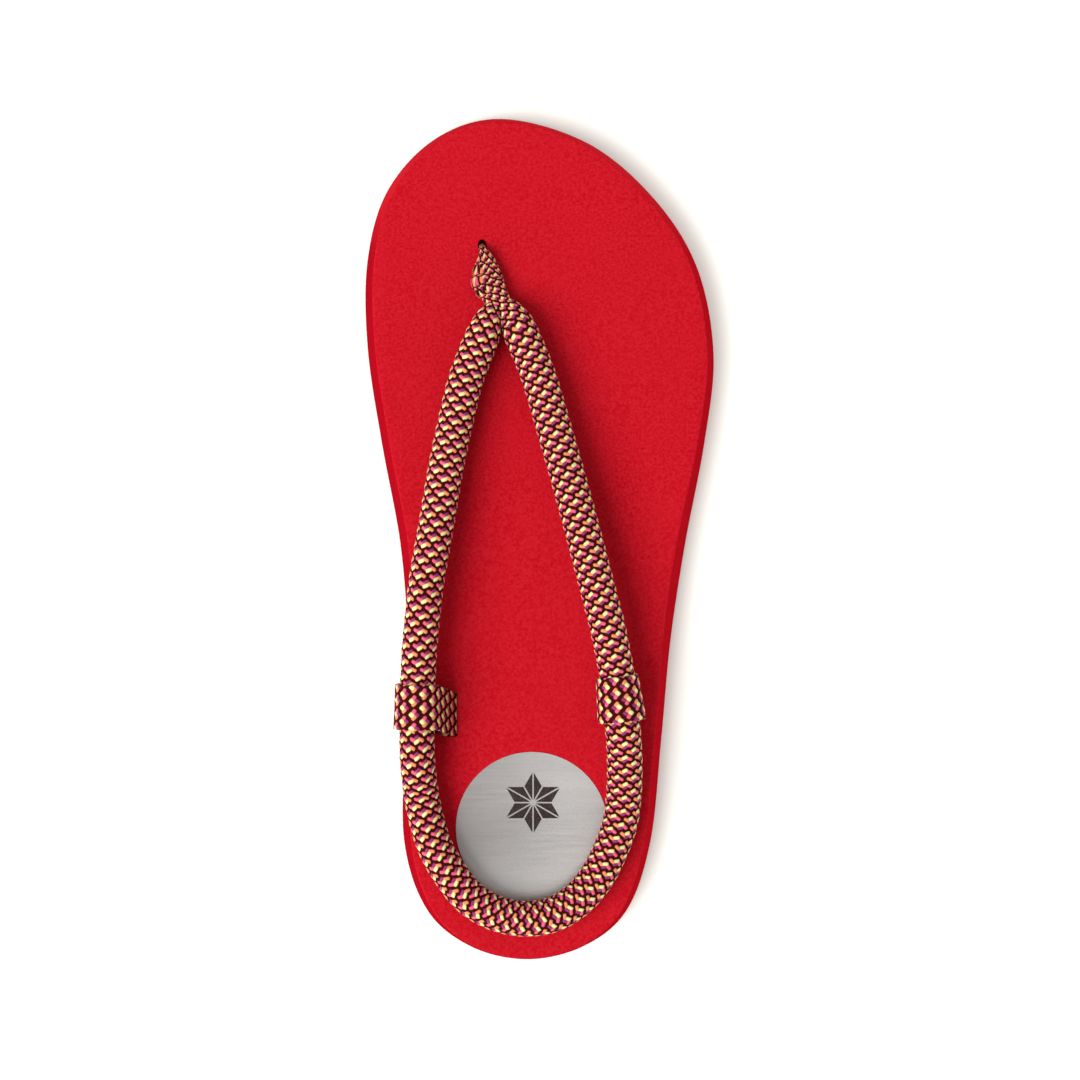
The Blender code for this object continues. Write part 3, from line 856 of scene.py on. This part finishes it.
def loopPath(slotToCord, cordHeight, top):    # out, up, and the share of the way to the cord, along the tape
    half = loops["thickness"] / 2
    clearance = loops["clearance"]
    radius = strap["radius"] + loops["slack"] + half
    centre = Vector((slotToCord, cordHeight))
    layer = (loops["thickness"] + clearance) / 2
    flapHeight = sole["slotPocket"][2] - clearance - half
    riseSteps, turnSteps = loops["riseSteps"], loops["turnSteps"]
    ends = []
    for side in (1, -1):
        corners = [
            Vector((side * (layer + loops["flap"]), flapHeight)),
            Vector((side * layer, flapHeight)),
            Vector((side * layer, top + clearance + half)),
        ]
        touch = tangentPoint(corners[-1], centre, radius, -side)
        inSlot = roundedPath([*corners, touch], half + clearance, loops["bendSteps"])[:-1]
        points = [(point, 0.0) for point in inSlot]
        points += [(inSlot[-1].lerp(touch, k / riseSteps), k / riseSteps) for k in range(1, riseSteps)]
        ends.append((points, math.atan2(touch.y - centre.y, touch.x - centre.x)))
    (rising, fromAngle), (falling, toAngle) = ends
    arc = []
    for k in range(turnSteps + 1):
        angle = fromAngle + ((toAngle - fromAngle) % math.tau) * k / turnSteps
        arc.append((centre + radius * Vector((math.cos(angle), math.sin(angle))), 1.0))
    return [*rising, *arc, *reversed(falling)]


def tapeSection(u):    # once round the flat tube, from the middle of its outer face
    edge = loops["thickness"] / 2
    flat = loops["width"] / 2 - edge
    bend = math.pi * edge
    walk = (u % 1.0) * (4 * flat + 2 * bend)
    stops = [0.0, flat, flat + bend, 3 * flat + bend, 3 * flat + 2 * bend, 4 * flat + 2 * bend]
    middles = np.interp(walk, stops, [0.0, flat, flat, -flat, -flat, 0.0])
    turns = np.interp(walk, stops, [0.0, 0.0, math.pi, math.pi, math.tau, math.tau])
    return middles, edge, np.sin(turns), np.cos(turns)


def makeSideLoop(place, material):
    name, outward = place["name"], place["outward"]
    slotX, slotY = sole["slots"][place["slot"]]
    cordX, cordY = place["cord"]
    cordHeight = footbed(cordX, cordY) + place["lift"] + strap["radius"]
    path = loopPath(abs(cordX - slotX), cordHeight, footbed(slotX, slotY))
    flat = np.array([(p.x, p.y, share) for p, share in path])
    steps = np.linalg.norm(np.diff(flat[:, :2], axis=0), axis=1)
    lengths = np.concatenate(([0.0], np.cumsum(steps)))
    total = lengths[-1]
    mesh, u, t = gridTube(name, loops["sides"], loops["rings"])
    s = t * total
    a = loops["cells"] * u + s / loops["cell"][1]
    b = loops["cells"] * u - s / loops["cell"][1]
    middle, edge, outWide, outThick = tapeSection(u)
    reach = edge - loops["relief"] * (1.0 - braidHeight(a, b, "tape", loops["cell"]))
    wide = middle + outWide * reach
    point = np.stack([np.interp(s, lengths, flat[:, k]) for k in range(3)], axis=1)
    share = point[:, 2]
    slope = np.gradient(flat[:, :2], axis=0)
    slope /= np.linalg.norm(slope, axis=1, keepdims=True)
    normal = np.stack([np.interp(s, lengths, slope[:, 1]), -np.interp(s, lengths, slope[:, 0])], axis=1)
    normal /= np.linalg.norm(normal, axis=1, keepdims=True)
    toToe, toHeel = place["flare"]
    spread = np.interp(outward * wide / (loops["width"] / 2), (-1.0, 0.0, 1.0), (toHeel, 0.0, toToe)) * share
    out, up = (point[:, :2] + normal * (outThick * reach + spread)[:, None]).T
    angle = math.radians(place["turn"]) * share
    x = slotX + outward * out - cordX
    y = outward * wide
    places = np.stack([
        cordX + x * np.cos(angle) - y * np.sin(angle),
        slotY + (cordY - slotY) * share + x * np.sin(angle) + y * np.cos(angle),
        up,
    ], axis=1)
    paintedShade = loops["slotShade"] * np.clip(1.6 - 2.0 * share, 0.0, 1.0)    # painted shade by the slot, gone before the tape is at the cord
    obj = finishTube(name, mesh, places, a, b, paintedShade, material)
    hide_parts(place["node"])
    print(name, round(total), "mm of tape,", len(obj.data.polygons), "faces")


label = {
    "centre": (-2.75, -84.35),
    "radius": 22.2,
    "thickness": 0.10,
    "lift": 0.03,                # off the footbed
    "sides": 144,
    "rings": 12,
    "leafCentre": (-2.4, -77.0),    # hemp-leaf star of twelve triangles
    "leafRadius": 9.6,
    "leafGap": 0.42,
    "leafThickness": 0.03,
    "leafBite": 0.01,            # into the foil
    "leafCuts": 3,
}

foil = {                         # noise scales, spans of x or y, and linear colours
    "brushing": (60.0, 1500.0, 60.0),
    "brushTurn": -52,            # degrees
    "clouds": 55.0,
    "specks": 2600.0,
    "dull": (0.395, 0.372, 0.36, 1),
    "plain": (0.435, 0.41, 0.395, 1),
    "outer": (0.465, 0.445, 0.43, 1),    # painted sheen, lighter towards the outer side
    "sheenSpan": (-0.020, 0.012),
    "sheenToe": (0.64, 0.61, 0.59, 1),    # painted sheen, most of all at its toe end
    "sheenToeSpan": (-0.084, -0.070, 0.0, 0.45),
    "heel": (0.61, 0.585, 0.565, 1),    # painted light, the brightest at the heel end
    "heelLightSpan": (-0.086, -0.104, 0.8),
    "brushed": (0.75, 0.73, 0.72, 1),
    "speck": (0.22, 0.21, 0.205, 1),
    "metallic": 0.85,
    "roughness": (0.33, 0.40),
    "relief": (0.00004, 0.4),
}

ink = {
    "specks": 2300.0,
    "dark": (0.021, 0.011, 0.013, 1),
    "pale": (0.058, 0.042, 0.045, 1),
    "roughness": 0.7,
    "specular": 0.25,
}


def foilMaterial():
    material, tree, shader = newMaterial("silverFoil")
    where = objectCoordinates(tree)
    x, y, _ = axes(tree, where)
    brushed = noise(tree, stretched(tree, where, foil["brushing"], foil["brushTurn"]), 1.0, 3.0, 0.6)
    specks = noise(tree, where, foil["specks"], 1.0)
    clouds = noise(tree, where, foil["clouds"], 1.0)
    # painted sheen towards the outer side and its toe end
    outer = remap(tree, x, *foil["sheenSpan"], smooth=True)
    sheenToe = calc(tree, "MULTIPLY", outer, remap(tree, y, *foil["sheenToeSpan"], smooth=True))
    color = paintOver(tree, foil["dull"], foil["plain"], clouds, 0.3, 0.7)
    color = blend(tree, outer, color, foil["outer"])
    color = blend(tree, sheenToe, color, foil["sheenToe"])
    # painted light at the label's heel end
    color = paintOver(tree, color, foil["heel"], y, *foil["heelLightSpan"], smooth=True)
    color = paintOver(tree, color, foil["brushed"], brushed, 0.3, 0.7, 0.05)
    color = paintOver(tree, color, foil["speck"], specks, 0.55, 0.75, 0.25)
    plug(tree, shader.inputs["Base Color"], color)
    shader.inputs["Metallic"].default_value = foil["metallic"]
    plug(tree, shader.inputs["Roughness"], remap(tree, brushed, 0.3, 0.7, *foil["roughness"]))
    plug(tree, shader.inputs["Normal"], bump(tree, specks, *foil["relief"]))
    return material


def inkMaterial():
    material, tree, shader = newMaterial("greyInk")
    specks = noise(tree, objectCoordinates(tree), ink["specks"])
    plug(tree, shader.inputs["Base Color"], paintOver(tree, ink["dark"], ink["pale"], specks, 0.50, 0.68))
    shader.inputs["Roughness"].default_value = ink["roughness"]
    shader.inputs["Specular IOR Level"].default_value = ink["specular"]
    return material


def layOnFootbed(bm, centre, lift, thickness):    # a flat sheet becomes a thin solid that follows the footbed
    bmesh.ops.translate(bm, verts=bm.verts, vec=(*centre, 0.0))
    for vert in bm.verts:
        vert.co.z = footbed(vert.co.x, vert.co.y) + lift
    bmesh.ops.translate(bm, verts=extrudeUp(bm), vec=(0, 0, thickness))
    bmesh.ops.recalc_face_normals(bm, faces=bm.faces)
    bmesh.ops.scale(bm, verts=bm.verts, vec=(mm, mm, mm))


def makeLabel():
    bm = bmesh.new()
    bmesh.ops.create_circle(bm, cap_ends=True, segments=label["sides"], radius=label["radius"])
    step = label["radius"] / label["rings"]
    for k in range(label["rings"] - 1):
        middle = [f for f in bm.faces if len(f.verts) > 4]
        bmesh.ops.inset_region(bm, faces=middle, thickness=step, use_boundary=True)
    layOnFootbed(bm, label["centre"], label["lift"], label["thickness"])
    disc = meshObject("heelLabel", bm, [foilMaterial()])
    smoothShade(disc, 40)
    print("label:", len(disc.data.polygons), "faces")


def makeLeaf():
    radius = label["leafRadius"]
    bm = bmesh.new()
    for k in range(6):    # each of the star's points is two triangles
        ahead = math.radians(60 * k + 30)
        for side in (-1, 1):
            notch = ahead + side * math.radians(30)
            corners = [
                Vector((0.0, 0.0)),
                Vector((math.cos(ahead), math.sin(ahead))) * radius,
                Vector((math.cos(notch), math.sin(notch))) * radius / math.sqrt(3),
            ]
            sides = [(b - a).length for a, b in zip(corners[1:] + corners[:1], corners[2:] + corners[:2])]
            heart = sum((c * w for c, w in zip(corners, sides)), Vector((0.0, 0.0))) / sum(sides)
            inRadius = abs((corners[1] - corners[0]).cross(corners[2] - corners[0])) / sum(sides)
            keep = 1.0 - label["leafGap"] / 2 / inRadius
            tri = bmesh.ops.create_circle(bm, cap_ends=True, segments=3, radius=1.0)["verts"]
            for vert, corner in zip(tri, corners):
                vert.co.xy = heart + (corner - heart) * keep
    bmesh.ops.subdivide_edges(bm, edges=bm.edges, cuts=label["leafCuts"], use_grid_fill=True)
    lift = label["lift"] + label["thickness"] - label["leafBite"]
    layOnFootbed(bm, label["leafCentre"], lift, label["leafThickness"] + label["leafBite"])
    leaf = meshObject("labelLeaf", bm, [inkMaterial()])
    print("leaf:", len(leaf.data.polygons), "faces")


stage = {
    "floorSize": 24.0,
    "floorColor": (0.84, 0.89, 0.83, 1),
    "glowColor": (0.97, 1.0, 0.95, 1),
    "glow": (0.12, 0.42),        # close to the sandal, a painted contact shadow, and further off
    "glowGap": 0.008,
    "keyDirection": (-0.58, -0.335, 0.743),    # from the sandal to the light
    "keyDistance": 3.2,
    "keySize": 2.6,
    "keyPower": 118.0,
    "sideDirection": (0.80, 0.57, 0.19),
    "sideDistance": 2.0,
    "sideSize": 0.7,
    "sidePower": 5.5,
    "fill": 0.52,
    "camera": (-0.0191, 0.0059, 0.760),
    "lens": 85.0,
    "shift": (0.0593, -0.0194),
}


def makeStage():
    bm = bmesh.new()
    bmesh.ops.create_grid(bm, x_segments=1, y_segments=1, size=stage["floorSize"] / 2)
    material, tree, shader = newMaterial("paleFloor")
    shader.inputs["Base Color"].default_value = stage["floorColor"]
    shader.inputs["Roughness"].default_value = 0.9
    shader.inputs["Specular IOR Level"].default_value = 0.1
    shader.inputs["Emission Color"].default_value = stage["glowColor"]
    near = tree.nodes.new("ShaderNodeAmbientOcclusion")    # painted contact shadow: the floor glows less close to what stands on it
    near.inputs["Distance"].default_value = stage["glowGap"]
    glow = remap(tree, near.outputs["AO"], 0.5, 1.0, *stage["glow"])
    plug(tree, shader.inputs["Emission Strength"], glow)
    floor = meshObject("floor", bm, [material], body=None)

    for name in ("key", "side"):
        toLight = Vector(stage[name + "Direction"]).normalized()
        lamp = bpy.data.lights.new(name + "Soft", "AREA")
        lamp.shape = "DISK"
        lamp.size = stage[name + "Size"]
        lamp.energy = stage[name + "Power"]
        light = bpy.data.objects.new(name + "Soft", lamp)
        light.location = toLight * stage[name + "Distance"]
        light.rotation_euler = toLight.to_track_quat("Z", "Y").to_euler()
        bpy.context.scene.collection.objects.link(light)

    world = bpy.data.worlds.new("studio")
    world.use_nodes = True
    background = world.node_tree.nodes["Background"]
    background.inputs["Color"].default_value = (1.0, 1.0, 1.0, 1)
    background.inputs["Strength"].default_value = stage["fill"]
    bpy.context.scene.world = world

    lens = bpy.data.cameras.new("camera")
    lens.lens = stage["lens"]
    lens.sensor_width = 36.0
    lens.shift_x, lens.shift_y = stage["shift"]
    lens.clip_start, lens.clip_end = 0.01, 50.0
    camera = bpy.data.objects.new("camera", lens)
    camera.location = stage["camera"]
    bpy.context.scene.collection.objects.link(camera)
    bpy.context.scene.camera = camera
    bpy.context.scene.view_settings.view_transform = "Standard"
    print("stage set")


makeStage()
makeSole()
yarns = yarnGroup()
cordMaterial = braidMaterial("braidedCord", yarns, "cord", strap["cell"])
tapeMaterial = braidMaterial("braidedTape", yarns, "tape", loops["cell"])
makeStrap(cordMaterial)
makeKnot(cordMaterial)
for place in loops["places"]:
    makeSideLoop(place, tapeMaterial)
makeLabel()
makeLeaf()
